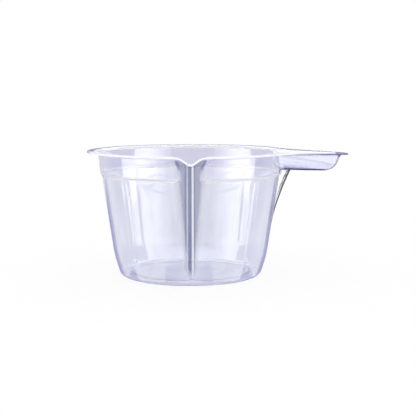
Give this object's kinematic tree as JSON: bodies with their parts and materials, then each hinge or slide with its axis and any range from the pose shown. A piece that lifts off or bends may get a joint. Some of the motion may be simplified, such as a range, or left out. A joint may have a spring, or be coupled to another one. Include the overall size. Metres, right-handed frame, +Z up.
{
  "type": "resin mixing cup",
  "caption": "Small clear mixing cup of thin pressed plastic, with a drafted body, stacking collar, flat rim, pouring channel and a hollow tongue handle.",
  "frame": {"origin": "centre of the foot's resting plane, on the cup's axis", "axes": "+Z up along the cup's axis, +X towards the handle's tip, -Y towards the pouring spout"},
  "size_m": [0.0914, 0.072, 0.0438],
  "materials": {
    "clear_sheet": "glossy clear thermoformed sheet with a faint lavender tint"
  },
  "bodies": {
    "root": {"floor_panel": "clear_sheet", "foot_ring": "clear_sheet", "fluted_wall": "clear_sheet", "ledge_long_arc": "clear_sheet", "ledge_short_arc": "clear_sheet", "collar_long_arc": "clear_sheet", "collar_short_arc": "clear_sheet", "rim_long_arc": "clear_sheet", "rim_short_arc": "clear_sheet", "pour_lip": "clear_sheet", "spout_channel": "clear_sheet", "handle_tongue": "clear_sheet", "handle_trough": "clear_sheet", "handle_gusset": "clear_sheet"}
  },
  "joints": []
}
